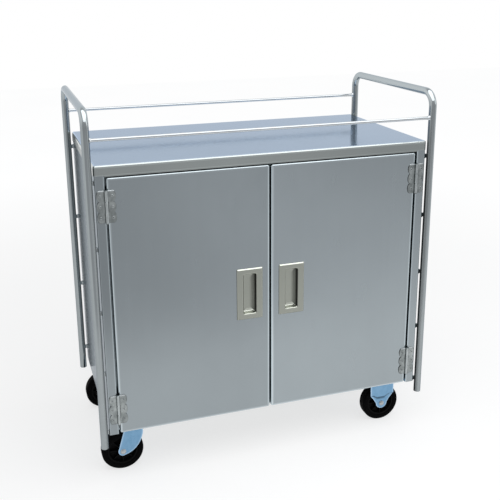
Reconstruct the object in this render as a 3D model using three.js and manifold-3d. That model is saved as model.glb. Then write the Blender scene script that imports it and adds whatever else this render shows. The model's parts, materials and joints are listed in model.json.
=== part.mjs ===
// Enclosed meal tray cart: a sheet-steel cabinet with two hinged doors under a railed tabletop,
// carried between two inverted-U tube frames on two swivel and two fixed casters.
// Millimetres. +Z is up, +X runs along the cart, and the doors face -Y.
// The origin is on the floor, under the middle of the cart.
import * as THREE from 'three';
import { mergeVertices } from 'three/addons/utils/BufferGeometryUtils.js';
import Module from 'manifold-3d';

const wasm = await Module();
wasm.setup();

// ---------------------------------------------------------------- clearances
const SEAT = 0.3; // between pieces that rest on, hold or pass one another
const RUNNING = 0.08; // all round a shaft that turns in its bore
const PAST = 1; // how far a cut runs past the piece, or a joined piece into its neighbour

// ---------------------------------------------------------------- cabinet
const TABLETOP_LENGTH = 985;
const TABLETOP_DEPTH = 523;
const TABLETOP_SHEET = 1.5;
const APRON_HEIGHT = 28;
const CABINET_HEIGHT = 794; // from the cabinet's underside to the tabletop
const CABINET_SHEET = 1.2;
const STILE_WIDTH = 27;
const STOP_LIP = 15; // how far the stiles and the header reach behind the doors
const STOP_GAP = 2; // between a closed door and the lip behind it
const REAR_FLANGE = 25;
const FLOOR_HEIGHT = 30; // the floor deck above the cabinet's underside
const HEADER_DROP = 3.8; // the header's underside below the apron
const HEADER_TOP_FLANGE = 20;

// ---------------------------------------------------------------- shelf
const SHELF_LEVEL = 375; // above the floor deck
const SHELF_LIP = 25;
const SHELF_SETBACK = 11; // behind the stop lips
const BEARER_LEG = 25;
const BEARER_SHEET = 2;
const BEARER_INSET = 21; // from the shelf's front and back

// ---------------------------------------------------------------- end frames and guard rails
const TUBE_DIAMETER = 22.2;
const TUBE_WALL = 1.2;
const TUBE_STANDOFF = 2.9; // between the tabletop's end and the tube
const TUBE_SIDES = 16;
const HANDLE_RISE = 153; // above the tabletop
const BEND_RADIUS = 42; // of the tube's centre line
const BEND_STEPS = 6;
const POST_DROP = 35.6; // the posts' cut ends below the cabinet
const SPACER_DEPTH = 8;
const SPACER_HEIGHT = 12;
const FRONT_SPACERS = { count: 5, lowest: 10, belowTop: 35 };
const REAR_SPACERS = { count: 4, lowest: 42, belowTop: 35 };
const RAIL_DIAMETER = 9.5;
const RAIL_BELOW_BEND = 31.9; // the rails' centre line below the start of the tubes' bends
const RAIL_SIDES = 14;

// ---------------------------------------------------------------- doors
const DOOR_THICKNESS = 20;
const DOOR_SHEET = 1.2;
const DOOR_TOP_GAP = 6; // below the apron
const HINGE_GAP = 4; // between a door and its stile
const MEETING_GAP = 4; // between the doors
const PULL_WIDTH = 79;
const PULL_HEIGHT = 157;
const PULL_PLATE = 2.5;
const PULL_CORNER = 4;
const PULL_EDGE = 23; // from the door's free edge to the pull's plate
const PULL_OPENING_WIDTH = 38;
const PULL_OPENING_HEIGHT = 121;
const PULL_DEPTH = 14;
const PULL_WALL = 1.2;
const STRIKE = { width: 40, height: 14, thickness: 1.2 };
const CATCH = { width: 46, height: 20, depth: 15, bracket: 2 };
const CATCH_INSET = 70; // from the middle of the cart

// ---------------------------------------------------------------- hinges
const HINGE_HEIGHT = 90;
const HINGE_INSET = 34; // from the door's top and bottom edges
const LEAF_REACH = 26; // from the pin's axis to the lobes' tips
const LEAF_WAIST = 19; // from the pin's axis to the notches between the lobes
const LEAF_LOBES = 3;
const LOBE_STEPS = 5;
const LEAF_THICKNESS = 2;
const KNUCKLE_RADIUS = 4.5;
const KNUCKLE_SIDES = 14;
const HINGE_PIN_RADIUS = 2.6;
const HINGE_PIN_HEAD = 1.5;
const SCREW_HEAD_RADIUS = 3.2;
const SCREW_HEAD_HEIGHT = 0.9;
const SCREW_FROM_PIN = 16.5;
const SCREW_SIDES = 12;

// ---------------------------------------------------------------- casters
const CASTER_END_INSET = 85.5; // from the tabletop's ends to the plates' centres
const CASTER_SIDE_INSET = 74.5; // from the tabletop's front and back
const CASTER_TRAIL = 41; // a swivel caster's axle behind its kingpin
const WHEEL_RADIUS = 62.5;
const WHEEL_SIDES = 24;
const TYRE_WIDTH = 34;
const TYRE_SHOULDER = 6;
const TYRE_BAND = 16.5; // from the core's rim to the tread
const TYRE_DISH = 2; // how far the tyre's side falls away towards its bore
const CORE_WEB = 8;
const CORE_RIM = 30;
const CORE_RIM_WALL = 6;
const HUB_RADIUS = 15;
const HUB_LENGTH = 37;
const AXLE_RADIUS = 5;
const AXLE_SIDES = 16;
const AXLE_HEAD = { radius: 8.5, height: 4 };
const FORK_SHEET = 3.2;
const FORK_PLAY = 1; // between the hub's end and the fork
const CROWN_CLEARANCE = 14.7; // between the tread and the swivel fork's crown
const FORK_CROWN_RADIUS = 34;
const CROWN_SIDES = 24;
// Seen from the side, from the kingpin's axis: the leg's edges under the crown, the straight part of
// its front edge, the round end about the axle, and the point that the front edge curves towards.
const SWIVEL_LEG = { rear: 33, front: 21, shoulder: 24, eye: 14.5, bulge: { x: 10, z: -0.5 } };
// The fixed leg's half widths under the plate, at its waist and at its round end, with the heights of
// the end's centre, the waist and the shoulder above the axle.
const FIXED_LEG = { half: 41, waist: 27, eye: 19.5, eyeRise: 1.5, waistRise: 14, shoulderRise: 32 };
const PLATE = { length: 105, width: 92, thickness: 3.2, corner: 8 };
const PLATE_BOLT = { alongX: 80, alongY: 66, radius: 6.5, height: 5, sides: 6 };
const RACE = { outer: 33, inner: 15, height: 8, edge: 2 };
const KINGPIN_RADIUS = 6;
const KINGPIN_HEAD = { radius: 10, height: 5.5 };
const CHANNEL_WIDTH = 112;
const CHANNEL_SHEET = 2;

// ---------------------------------------------------------------- places worked out from the sizes
// The casters' stack, from the floor to the cabinet:
const crownBottom = 2 * WHEEL_RADIUS + CROWN_CLEARANCE;
const crownTop = crownBottom + FORK_SHEET;
const raceTop = crownTop + SEAT + RACE.height;
const plateBottom = raceTop + SEAT;
const plateTop = plateBottom + PLATE.thickness;
const cabinetUnderside = plateTop + SEAT;
// The cabinet:
const topX = TABLETOP_LENGTH / 2;
const topY = TABLETOP_DEPTH / 2;
const topZ = cabinetUnderside + CABINET_HEIGHT;
const apronBottom = topZ - APRON_HEIGHT;
const bodyX = topX - TABLETOP_SHEET - SEAT;
const bodyY = topY - TABLETOP_SHEET - SEAT;
const bodyTop = topZ - TABLETOP_SHEET - SEAT;
const innerX = bodyX - CABINET_SHEET - SEAT;
const stileX = bodyX - STILE_WIDTH;
const doorTop = apronBottom - DOOR_TOP_GAP;
const doorBottom = cabinetUnderside;
const doorMiddle = (doorTop + doorBottom) / 2;
const doorBackY = -bodyY + DOOR_THICKNESS;
const lipY = doorBackY + STOP_GAP;
const insideFrontY = lipY + CABINET_SHEET + SEAT;
const backSheetY = bodyY - CABINET_SHEET - SEAT;
const insideBackY = backSheetY - CABINET_SHEET - SEAT;
const deckTop = cabinetUnderside + FLOOR_HEIGHT;
const hingeX = stileX - HINGE_GAP / 2;
const doorX = stileX - HINGE_GAP;
const hingeY = -bodyY - SEAT - KNUCKLE_RADIUS;
const pullX = MEETING_GAP / 2 + PULL_EDGE + PULL_WIDTH / 2;
const headerBottom = apronBottom - HEADER_DROP;
// The end frames and the rest of the casters:
const tubeRadius = TUBE_DIAMETER / 2;
const postX = topX + TUBE_STANDOFF + tubeRadius;
const postY = topY;
const bendZ = topZ + HANDLE_RISE - tubeRadius - BEND_RADIUS;
const railZ = bendZ - RAIL_BELOW_BEND;
const casterX = topX - CASTER_END_INSET;
const casterY = topY - CASTER_SIDE_INSET;
const forkInside = HUB_LENGTH / 2 + FORK_PLAY;
const forkOutside = forkInside + FORK_SHEET;
const tyreBore = WHEEL_RADIUS - TYRE_BAND;

// ---------------------------------------------------------------- finishes
const finish = (color, roughness, metalness) => ({ color, roughness, metalness });
const STAINLESS = finish(0x9fa4a6, 0.34, 1);
const BRIGHT_TOP = finish(0xb3bccb, 0.16, 1);
const BRIGHT_TUBE = finish(0xa9aeb0, 0.14, 1);
const SATIN = finish(0xa8a199, 0.4, 1);
const HINGE_STEEL = finish(0x95999a, 0.32, 1);
const ZINC = finish(0x86a9c6, 0.36, 0.85);
const STEEL = finish(0x8f9497, 0.4, 1);
const RUBBER = finish(0x0d0d0e, 0.75, 0);
const BLACK_PLASTIC = finish(0x121214, 0.5, 0);

// ---------------------------------------------------------------- solids
// Every shape is a closed solid that can be joined with or cut by another.
function signedVolume(positions, index) {
  const corners = [new THREE.Vector3(), new THREE.Vector3(), new THREE.Vector3()];
  let volume = 0;
  for (let i = 0; i < index.length; i += 3) {
    corners.forEach((corner, k) => corner.fromArray(positions, 3 * index[i + k]));
    volume += corners[0].dot(corners[1].cross(corners[2])) / 6;
  }
  return volume;
}

function toSolid(geometry) {
  geometry.deleteAttribute('normal');
  geometry.deleteAttribute('uv');
  const merged = mergeVertices(geometry, 1e-4);
  const positions = merged.attributes.position.array;
  const index = [];
  for (let i = 0; i < merged.index.count; i += 3) {
    const [a, b, c] = [0, 1, 2].map((k) => merged.index.getX(i + k));
    if (a !== b && b !== c && c !== a) index.push(a, b, c);
  }
  if (signedVolume(positions, index) < 0) {
    for (let i = 0; i < index.length; i += 3) [index[i], index[i + 1]] = [index[i + 1], index[i]];
  }
  const mesh = new wasm.Mesh({
    numProp: 3,
    vertProperties: Float32Array.from(positions),
    triVerts: Uint32Array.from(index),
  });
  return new wasm.Manifold(mesh);
}

const join = (...solids) => solids.reduce((sum, solid) => sum.add(solid));
const cut = (solid, ...tools) => tools.reduce((left, tool) => left.subtract(tool), solid);

// A block between two X, two Y and two Z values, in either order.
function block(x, y, z) {
  const sizes = [x, y, z].map(([from, to]) => Math.abs(to - from));
  const middles = [x, y, z].map(([from, to]) => (from + to) / 2);
  return toSolid(new THREE.BoxGeometry(...sizes).translate(...middles));
}

const AXES = {
  x: [new THREE.Vector3(0, 1, 0), new THREE.Vector3(0, 0, 1), new THREE.Vector3(1, 0, 0)],
  y: [new THREE.Vector3(1, 0, 0), new THREE.Vector3(0, 0, 1), new THREE.Vector3(0, 1, 0)],
  z: [new THREE.Vector3(1, 0, 0), new THREE.Vector3(0, 1, 0), new THREE.Vector3(0, 0, 1)],
};

// An outline drawn across an axis (Y-Z, X-Z or X-Y), run along that axis from one value to another.
function prism(outline, axis, from, to, curveSegments = 3) {
  const shape = outline instanceof THREE.Shape
    ? outline
    : new THREE.Shape(outline.map(([a, b]) => new THREE.Vector2(a, b)));
  const depth = Math.abs(to - from);
  const geometry = new THREE.ExtrudeGeometry(shape, { depth, bevelEnabled: false, curveSegments });
  geometry.translate(0, 0, Math.min(from, to));
  return toSolid(geometry.applyMatrix4(new THREE.Matrix4().makeBasis(...AXES[axis])));
}

// A round bar along an axis; at holds its centre in the two directions across it.
function bar(radius, axis, from, to, at = [0, 0], sides = AXLE_SIDES) {
  const outline = circle(radius, sides).map((p) => [at[0] + p.x, at[1] + p.y]);
  return prism(outline, axis, from, to);
}

function circle(radius, sides) {
  return Array.from({ length: sides }, (_, i) => {
    const angle = (2 * Math.PI * (i + 0.5)) / sides;
    return new THREE.Vector2(radius * Math.cos(angle), radius * Math.sin(angle));
  });
}

// The corner radius of a many-sided bore or wheel whose flats lie at the given radius.
const overFlats = (radius, sides) => radius / Math.cos(Math.PI / sides);

// A closed profile of [radius, height] pairs turned about Y, with a flat of the wheel lowest.
function turned(profile, sides) {
  const points = profile.map(([radius, along]) => new THREE.Vector2(overFlats(radius, sides), along));
  points.push(points[0].clone());
  return toSolid(new THREE.LatheGeometry(points, sides, Math.PI / sides));
}

// The same about Z.
const turnedUpright = (profile, sides) => toSolid(
  new THREE.LatheGeometry(
    [...profile, profile[0]].map(([radius, along]) => new THREE.Vector2(radius, along)),
    sides,
  ).rotateX(Math.PI / 2),
);

function roundedRectangle(width, height, corner) {
  const shape = new THREE.Shape();
  const [x, y] = [width / 2 - corner, height / 2 - corner];
  shape.absarc(x, y, corner, 0, Math.PI / 2);
  shape.absarc(-x, y, corner, Math.PI / 2, Math.PI);
  shape.absarc(-x, -y, corner, Math.PI, 1.5 * Math.PI);
  shape.absarc(x, -y, corner, 1.5 * Math.PI, 2 * Math.PI);
  shape.closePath();
  return shape;
}

// ---------------------------------------------------------------- the scene graph
function group(parent, x = 0, y = 0, z = 0) {
  const node = new THREE.Group();
  node.position.set(x, y, z);
  parent.add(node);
  return node;
}

function piece(parent, name, solid, look) {
  const { vertProperties, triVerts } = solid.getMesh();
  const geometry = new THREE.BufferGeometry();
  geometry.setAttribute('position', new THREE.BufferAttribute(vertProperties, 3));
  geometry.setIndex(new THREE.BufferAttribute(triVerts, 1));
  geometry.computeVertexNormals();
  const mesh = new THREE.Mesh(geometry, new THREE.MeshStandardMaterial(look));
  mesh.name = name;
  parent.add(mesh);
}

const SIDES = [
  { side: 'left', sign: -1 },
  { side: 'right', sign: 1 },
];
const mirrored = (sign, values) => values.map((value) => sign * value);
const mirroredOutline = (sign, outline) => outline.map(([x, y]) => [sign * x, y]);

// ---------------------------------------------------------------- cabinet pieces
// The top sheet with its apron folded down all round.
function tabletop() {
  const [x, y] = [topX - TABLETOP_SHEET, topY - TABLETOP_SHEET];
  const slab = block([-topX, topX], [-topY, topY], [apronBottom, topZ]);
  const under = block([-x, x], [-y, y], [apronBottom - PAST, topZ - TABLETOP_SHEET]);
  return cut(slab, under);
}

// One folded sheet: the end wall, the stile beside the door, the stop lip behind the door
// and a flange that the back panel is fixed to.
function sidePanel(sign) {
  const t = CABINET_SHEET;
  const outline = [
    [bodyX, -bodyY], [bodyX, bodyY], [bodyX - REAR_FLANGE, bodyY], [bodyX - REAR_FLANGE, bodyY - t],
    [bodyX - t, bodyY - t], [bodyX - t, -bodyY + t], [stileX + t, -bodyY + t], [stileX + t, lipY + t],
    [doorX - STOP_LIP, lipY + t], [doorX - STOP_LIP, lipY], [stileX, lipY], [stileX, -bodyY],
  ];
  return prism(mirroredOutline(sign, outline), 'z', cabinetUnderside, bodyTop);
}

const backPanel = () => block(
  [-innerX, innerX],
  [backSheetY - CABINET_SHEET, backSheetY],
  [cabinetUnderside, bodyTop],
);

// The deck with a skirt folded down all round.
function floorPanel() {
  const t = CABINET_SHEET;
  const deck = block([-innerX, innerX], [insideFrontY, insideBackY], [cabinetUnderside, deckTop]);
  const under = block(
    [-innerX + t, innerX - t],
    [insideFrontY + t, insideBackY - t],
    [cabinetUnderside - PAST, deckTop - t],
  );
  return cut(deck, under);
}

// A channel under the deck that the casters are bolted to.
function casterChannel(sign) {
  const t = CHANNEL_SHEET;
  const half = CHANNEL_WIDTH / 2;
  const [bottom, top] = [cabinetUnderside, deckTop - CABINET_SHEET - SEAT];
  const outline = [
    [-half, bottom], [half, bottom], [half, top], [half - t, top],
    [half - t, bottom + t], [-half + t, bottom + t], [-half + t, top], [-half, top],
  ].map(([x, z]) => [sign * casterX + x, z]);
  const gap = CABINET_SHEET + SEAT;
  const [front, back] = [insideFrontY + gap, insideBackY - gap];
  const holes = [-1, 1].map((end) => {
    const at = [sign * casterX, end * casterY];
    return bar(KINGPIN_RADIUS + SEAT, 'z', bottom - PAST, bottom + t + PAST, at);
  });
  return cut(prism(outline, 'y', front, back), ...holes);
}

// The rail over the doors: behind the apron, over the doors' top edges and down behind them.
function doorHeader() {
  const t = CABINET_SHEET;
  const front = -bodyY + SEAT;
  const top = bodyTop;
  const lipBottom = doorTop - STOP_LIP;
  const outline = [
    [front, headerBottom], [lipY, headerBottom], [lipY, lipBottom], [lipY + t, lipBottom],
    [lipY + t, headerBottom + t], [front + t, headerBottom + t], [front + t, top - t],
    [front + HEADER_TOP_FLANGE, top - t], [front + HEADER_TOP_FLANGE, top], [front, top],
  ];
  const length = stileX - SEAT;
  const lipLength = doorX - STOP_LIP - SEAT;
  const rail = prism(outline, 'x', -length, length);
  const stileLips = [-1, 1].map((sign) => block(
    mirrored(sign, [lipLength, length + PAST]),
    [lipY - SEAT, lipY + t + PAST],
    [lipBottom - PAST, top + PAST],
  ));
  return cut(rail, ...stileLips);
}

// ---------------------------------------------------------------- shelf pieces
const shelfTop = deckTop + SHELF_LEVEL;
const shelfFrontY = insideFrontY + SHELF_SETBACK;
const shelfUnderside = shelfTop - CABINET_SHEET;

// A sheet with its front and back edges folded down.
function shelf() {
  const t = CABINET_SHEET;
  const outline = [
    [shelfFrontY, shelfTop - SHELF_LIP], [shelfFrontY + t, shelfTop - SHELF_LIP],
    [shelfFrontY + t, shelfUnderside], [insideBackY - t, shelfUnderside],
    [insideBackY - t, shelfTop - SHELF_LIP], [insideBackY, shelfTop - SHELF_LIP],
    [insideBackY, shelfTop], [shelfFrontY, shelfTop],
  ];
  return prism(outline, 'x', -innerX, innerX);
}

// An angle fixed to the end wall under the shelf.
function shelfBearer(sign) {
  const top = shelfUnderside - SEAT;
  const outline = [
    [innerX, top], [innerX - BEARER_LEG, top], [innerX - BEARER_LEG, top - BEARER_SHEET],
    [innerX - BEARER_SHEET, top - BEARER_SHEET], [innerX - BEARER_SHEET, top - BEARER_LEG],
    [innerX, top - BEARER_LEG],
  ];
  const ends = [shelfFrontY + BEARER_INSET, insideBackY - BEARER_INSET];
  return prism(mirroredOutline(sign, outline), 'y', ...ends);
}

// ---------------------------------------------------------------- end frames and guard rails
// A path that is sampled at its own points, so its straight runs need no rings between their ends.
class RingPath extends THREE.Curve {
  constructor(points) {
    super();
    this.points = points;
  }

  getPoint(t, target = new THREE.Vector3()) {
    const last = this.points.length - 1;
    const start = Math.min(Math.floor(t * last), last - 1);
    return target.lerpVectors(this.points[start], this.points[start + 1], t * last - start);
  }

  getPointAt(u, target) {
    return this.getPoint(u, target);
  }

  getTangentAt(u, target = new THREE.Vector3()) {
    const last = this.points.length - 1;
    const ring = Math.round(u * last);
    const step = (i) => this.points[i + 1].clone().sub(this.points[i]).normalize();
    target.copy(step(Math.min(ring, last - 1)));
    if (ring > 0) target.add(step(ring - 1));
    return target.normalize();
  }
}

// Up the front post, along the handle and down the rear post.
function endFramePath(extra) {
  const bottom = cabinetUnderside - POST_DROP - extra;
  const bendY = postY - BEND_RADIUS;
  const points = [new THREE.Vector3(0, -postY, bottom)];
  for (const end of [-1, 1]) {
    for (let step = 0; step <= BEND_STEPS; step += 1) {
      const turn = (Math.PI / 2) * (step / BEND_STEPS);
      const angle = end < 0 ? Math.PI - turn : Math.PI / 2 - turn;
      const y = end * bendY + BEND_RADIUS * Math.cos(angle);
      points.push(new THREE.Vector3(0, y, bendZ + BEND_RADIUS * Math.sin(angle)));
    }
  }
  points.push(new THREE.Vector3(0, postY, bottom));
  return new RingPath(points);
}

function bentRod(radius, path) {
  const shape = new THREE.Shape(circle(radius, TUBE_SIDES));
  const steps = path.points.length - 1;
  return toSolid(new THREE.ExtrudeGeometry(shape, { steps, extrudePath: path, bevelEnabled: false }));
}

// The blocks that hold a post off the end wall, evenly spaced up the cabinet.
function spacers(sign, end, { count, lowest, belowTop }) {
  const low = cabinetUnderside + lowest;
  const high = topZ - belowTop - SPACER_HEIGHT;
  const edge = bodyY - SEAT;
  return Array.from({ length: count }, (_, i) => {
    const z = low + ((high - low) * i) / (count - 1);
    return block(
      [sign * (bodyX + SEAT - postX), -sign * tubeRadius / 2],
      mirrored(end, [edge - SPACER_DEPTH, edge]),
      [z - SPACER_HEIGHT / 2, z + SPACER_HEIGHT / 2],
    );
  });
}

function endFrame(sign) {
  const outside = bentRod(tubeRadius, endFramePath(0));
  const bore = bentRod(tubeRadius - TUBE_WALL, endFramePath(PAST));
  const held = join(outside, ...spacers(sign, -1, FRONT_SPACERS), ...spacers(sign, 1, REAR_SPACERS));
  return cut(held, bore);
}

function guardRail() {
  const length = postX - tubeRadius - SEAT;
  return bar(RAIL_DIAMETER / 2, 'x', -length, length, [0, 0], RAIL_SIDES);
}

// ---------------------------------------------------------------- door pieces
// The front sheet with its edges folded back, and the opening for the pull's cup.
function doorSkin(sign) {
  const t = DOOR_SHEET;
  const free = MEETING_GAP / 2;
  const shell = block(mirrored(sign, [free, doorX]), [-bodyY, doorBackY], [doorBottom, doorTop]);
  const inside = block(
    mirrored(sign, [free + t, doorX - t]),
    [-bodyY + t, doorBackY + PAST],
    [doorBottom + t, doorTop - t],
  );
  const halfWidth = PULL_OPENING_WIDTH / 2 + PULL_WALL + SEAT;
  const halfHeight = PULL_OPENING_HEIGHT / 2 + PULL_WALL + SEAT;
  const opening = block(
    mirrored(sign, [pullX - halfWidth, pullX + halfWidth]),
    [-bodyY - PAST, -bodyY + t + PAST],
    [doorMiddle - halfHeight, doorMiddle + halfHeight],
  );
  return cut(shell, inside, opening);
}

// The inner sheet that closes the back of a door, inside its folded edges.
function doorLiner(sign) {
  const edge = DOOR_SHEET + SEAT;
  const [free, hung] = [MEETING_GAP / 2 + edge, doorX - edge];
  return block(
    mirrored(sign, [free, hung]),
    [doorBackY - DOOR_SHEET, doorBackY],
    [doorBottom + edge, doorTop - edge],
  );
}

// A plate with a cup behind it, drawn about the middle of its back face.
function doorPull() {
  const plate = prism(roundedRectangle(PULL_WIDTH, PULL_HEIGHT, PULL_CORNER), 'y', -PULL_PLATE, 0);
  const wall = 2 * PULL_WALL;
  const [width, height] = [PULL_OPENING_WIDTH, PULL_OPENING_HEIGHT];
  const corner = PULL_CORNER + PULL_WALL;
  const cupOutline = roundedRectangle(width + wall, height + wall, corner);
  const cup = prism(cupOutline, 'y', -PAST, PULL_DEPTH + PULL_WALL);
  const hollow = prism(roundedRectangle(width, height, PULL_CORNER), 'y', -PULL_PLATE - PAST, PULL_DEPTH);
  return cut(join(plate, cup), hollow);
}

const catchTop = doorTop - STOP_LIP - SEAT;

// The steel plate on the back of a door, level with the catch.
function doorStrike(sign) {
  const z = catchTop - CATCH.height / 2;
  const x = mirrored(sign, [CATCH_INSET - STRIKE.width / 2, CATCH_INSET + STRIKE.width / 2]);
  const y = doorBackY + SEAT;
  return block(x, [y, y + STRIKE.thickness], [z - STRIKE.height / 2, z + STRIKE.height / 2]);
}

// The magnet's case under the header's lip, on a bracket behind the lip.
function doorCatch(sign) {
  const x = mirrored(sign, [CATCH_INSET - CATCH.width / 2, CATCH_INSET + CATCH.width / 2]);
  const face = doorBackY + 2 * SEAT + STRIKE.thickness;
  const bracketY = lipY + CABINET_SHEET + SEAT;
  const magnetCase = block(x, [face, face + CATCH.depth], [catchTop - CATCH.height, catchTop]);
  const bracket = block(x, [bracketY, bracketY + CATCH.bracket], [catchTop - PAST, headerBottom]);
  return join(magnetCase, bracket);
}

// ---------------------------------------------------------------- hinge pieces
// All three are drawn about the pin's axis, at the middle of its length.
const knuckleHeight = HINGE_HEIGHT / 3;
const pinBore = overFlats(HINGE_PIN_RADIUS + RUNNING, KNUCKLE_SIDES);

// The leaf's outer edge is a row of lobes with a notch between each two.
function leafOutline() {
  const inner = KNUCKLE_RADIUS + 2 * SEAT;
  const lobe = HINGE_HEIGHT / LEAF_LOBES;
  const points = [[inner, -HINGE_HEIGHT / 2]];
  for (let i = 0; i <= LEAF_LOBES * LOBE_STEPS; i += 1) {
    const swell = Math.sqrt(Math.abs(Math.sin((Math.PI * i) / LOBE_STEPS)));
    const z = -HINGE_HEIGHT / 2 + (lobe * i) / LOBE_STEPS;
    points.push([LEAF_WAIST + (LEAF_REACH - LEAF_WAIST) * swell, z]);
  }
  points.push([inner, HINGE_HEIGHT / 2]);
  return points;
}

// A leaf lies flat on the sheet behind the barrel; spans lists its knuckles' lower and upper ends.
function hingeLeaf(sign, spans) {
  const back = KNUCKLE_RADIUS;
  const front = back - LEAF_THICKNESS;
  const plate = prism(mirroredOutline(sign, leafOutline()), 'y', front, back);
  const rolls = spans.map(([low, high]) => join(
    bar(KNUCKLE_RADIUS, 'z', low, high, [0, 0], KNUCKLE_SIDES),
    block(mirrored(sign, [PAST, KNUCKLE_RADIUS + 2 * PAST]), [front, back], [low, high]),
  ));
  const lobe = HINGE_HEIGHT / LEAF_LOBES;
  const screws = Array.from({ length: LEAF_LOBES }, (_, i) => {
    const z = (i - (LEAF_LOBES - 1) / 2) * lobe;
    const at = [sign * SCREW_FROM_PIN, z];
    return bar(SCREW_HEAD_RADIUS, 'y', front - SCREW_HEAD_HEIGHT, front + PAST, at, SCREW_SIDES);
  });
  const bore = bar(pinBore, 'z', -HINGE_HEIGHT, HINGE_HEIGHT, [0, 0], KNUCKLE_SIDES);
  return cut(join(plate, ...rolls, ...screws), bore);
}

function hingePin() {
  const end = HINGE_HEIGHT / 2 + SEAT;
  const tip = end + HINGE_PIN_HEAD;
  const shaft = bar(HINGE_PIN_RADIUS, 'z', -end - PAST, end + PAST, [0, 0], KNUCKLE_SIDES);
  const heads = [-1, 1].map((way) => bar(KNUCKLE_RADIUS, 'z', way * end, way * tip, [0, 0], KNUCKLE_SIDES));
  return join(shaft, ...heads);
}

function hinge(parent, label, sign) {
  const inner = knuckleHeight / 2;
  const outer = HINGE_HEIGHT / 2;
  const ends = [[-outer, -inner], [inner, outer]];
  const middle = [[-inner + SEAT, inner - SEAT]];
  piece(parent, `${label}_frame_leaf`, hingeLeaf(sign, ends), HINGE_STEEL);
  piece(parent, `${label}_door_leaf`, hingeLeaf(-sign, middle), HINGE_STEEL);
  piece(parent, `${label}_pin`, hingePin(), STEEL);
}

// ---------------------------------------------------------------- caster pieces
// Wheel pieces are drawn about the axle's middle, with the axle along Y.
function tyre() {
  const half = TYRE_WIDTH / 2;
  const shoulder = TYRE_SHOULDER;
  const round = shoulder * (1 - Math.SQRT1_2); // the middle of the shoulder's quarter circle
  const profile = [
    [WHEEL_RADIUS, half - shoulder], [WHEEL_RADIUS - round, half - round], [WHEEL_RADIUS - shoulder, half],
    [tyreBore, half - TYRE_DISH],
  ];
  const otherSide = profile.map(([radius, along]) => [radius, -along]).reverse();
  return turned([...otherSide, ...profile], WHEEL_SIDES);
}

// A rim and a hub joined by a thin web.
function wheelCore() {
  const [rim, hub, web] = [CORE_RIM / 2, HUB_LENGTH / 2, CORE_WEB / 2];
  const rimOuter = tyreBore - SEAT;
  const rimInner = rimOuter - CORE_RIM_WALL;
  const profile = [
    [rimOuter, rim], [rimInner, rim], [rimInner, web], [HUB_RADIUS, web], [HUB_RADIUS, hub],
    [AXLE_RADIUS + RUNNING, hub],
  ];
  const otherSide = profile.map(([radius, along]) => [radius, -along]).reverse();
  return turned([...otherSide, ...profile], WHEEL_SIDES);
}

// A bolt through the fork with a round head at one end and its nut at the other.
function axle() {
  const end = forkOutside + SEAT;
  const tip = end + AXLE_HEAD.height;
  const ends = [-1, 1].map((way) => bar(AXLE_HEAD.radius, 'y', way * end, way * tip));
  return join(bar(AXLE_RADIUS, 'y', -end - PAST, end + PAST), ...ends);
}

// The plate bolted to the channel, with its bolts' heads on the underside.
function casterPlate() {
  const plate = prism(roundedRectangle(PLATE.length, PLATE.width, PLATE.corner), 'z', plateBottom, plateTop);
  const bolts = [];
  for (const x of [-1, 1]) {
    for (const y of [-1, 1]) {
      const at = [x * PLATE_BOLT.alongX / 2, y * PLATE_BOLT.alongY / 2];
      const low = plateBottom - PLATE_BOLT.height;
      bolts.push(bar(PLATE_BOLT.radius, 'z', low, plateBottom + PAST, at, PLATE_BOLT.sides));
    }
  }
  return join(plate, ...bolts);
}

const holeEnd = forkOutside + PAST;
const axleHoles = (x) => bar(AXLE_RADIUS + SEAT, 'y', -holeEnd, holeEnd, [x, WHEEL_RADIUS]);
const bothLegs = (outline) => [-1, 1].map((way) => prism(outline, 'y', way * forkInside, way * forkOutside));

// A leg of the swivel fork, seen from the side: it leans back from the crown to the axle.
function swivelLeg() {
  const leg = new THREE.Shape();
  const { rear, front, shoulder, eye, bulge } = SWIVEL_LEG;
  const [x, z] = [-CASTER_TRAIL, WHEEL_RADIUS];
  const top = crownBottom + PAST;
  const [from, to] = [-Math.PI / 3, -1.08 * Math.PI]; // where the leg's edges meet the eye
  leg.moveTo(-rear, top);
  leg.lineTo(front, top);
  leg.lineTo(front, crownBottom - shoulder);
  leg.quadraticCurveTo(bulge.x, z + bulge.z, x + eye * Math.cos(from), z + eye * Math.sin(from));
  leg.absarc(x, z, eye, from, to, true);
  leg.closePath();
  return leg;
}

function swivelFork() {
  const legs = bothLegs(swivelLeg());
  const crown = bar(FORK_CROWN_RADIUS, 'z', crownBottom, crownTop, [0, 0], CROWN_SIDES);
  const hole = overFlats(KINGPIN_RADIUS + SEAT, CROWN_SIDES);
  const bore = bar(hole, 'z', crownBottom - PAST, crownTop + PAST, [0, 0], CROWN_SIDES);
  return cut(join(crown, ...legs), bore, axleHoles(-CASTER_TRAIL));
}

// The pin that the fork turns on: from the plate through the race and the crown to its head.
function kingpin() {
  const headTop = crownBottom - SEAT;
  const head = bar(KINGPIN_HEAD.radius, 'z', headTop - KINGPIN_HEAD.height, headTop);
  return join(head, bar(KINGPIN_RADIUS, 'z', headTop - PAST, plateTop));
}

// The ball race between the plate and the crown, in its round cover.
function ballRace() {
  const { outer, inner, height, edge } = RACE;
  const bottom = raceTop - height;
  return turnedUpright([
    [inner, bottom], [outer - edge, bottom], [outer, bottom + edge], [outer, raceTop - edge],
    [outer - edge, raceTop], [inner, raceTop],
  ], CROWN_SIDES);
}

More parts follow.
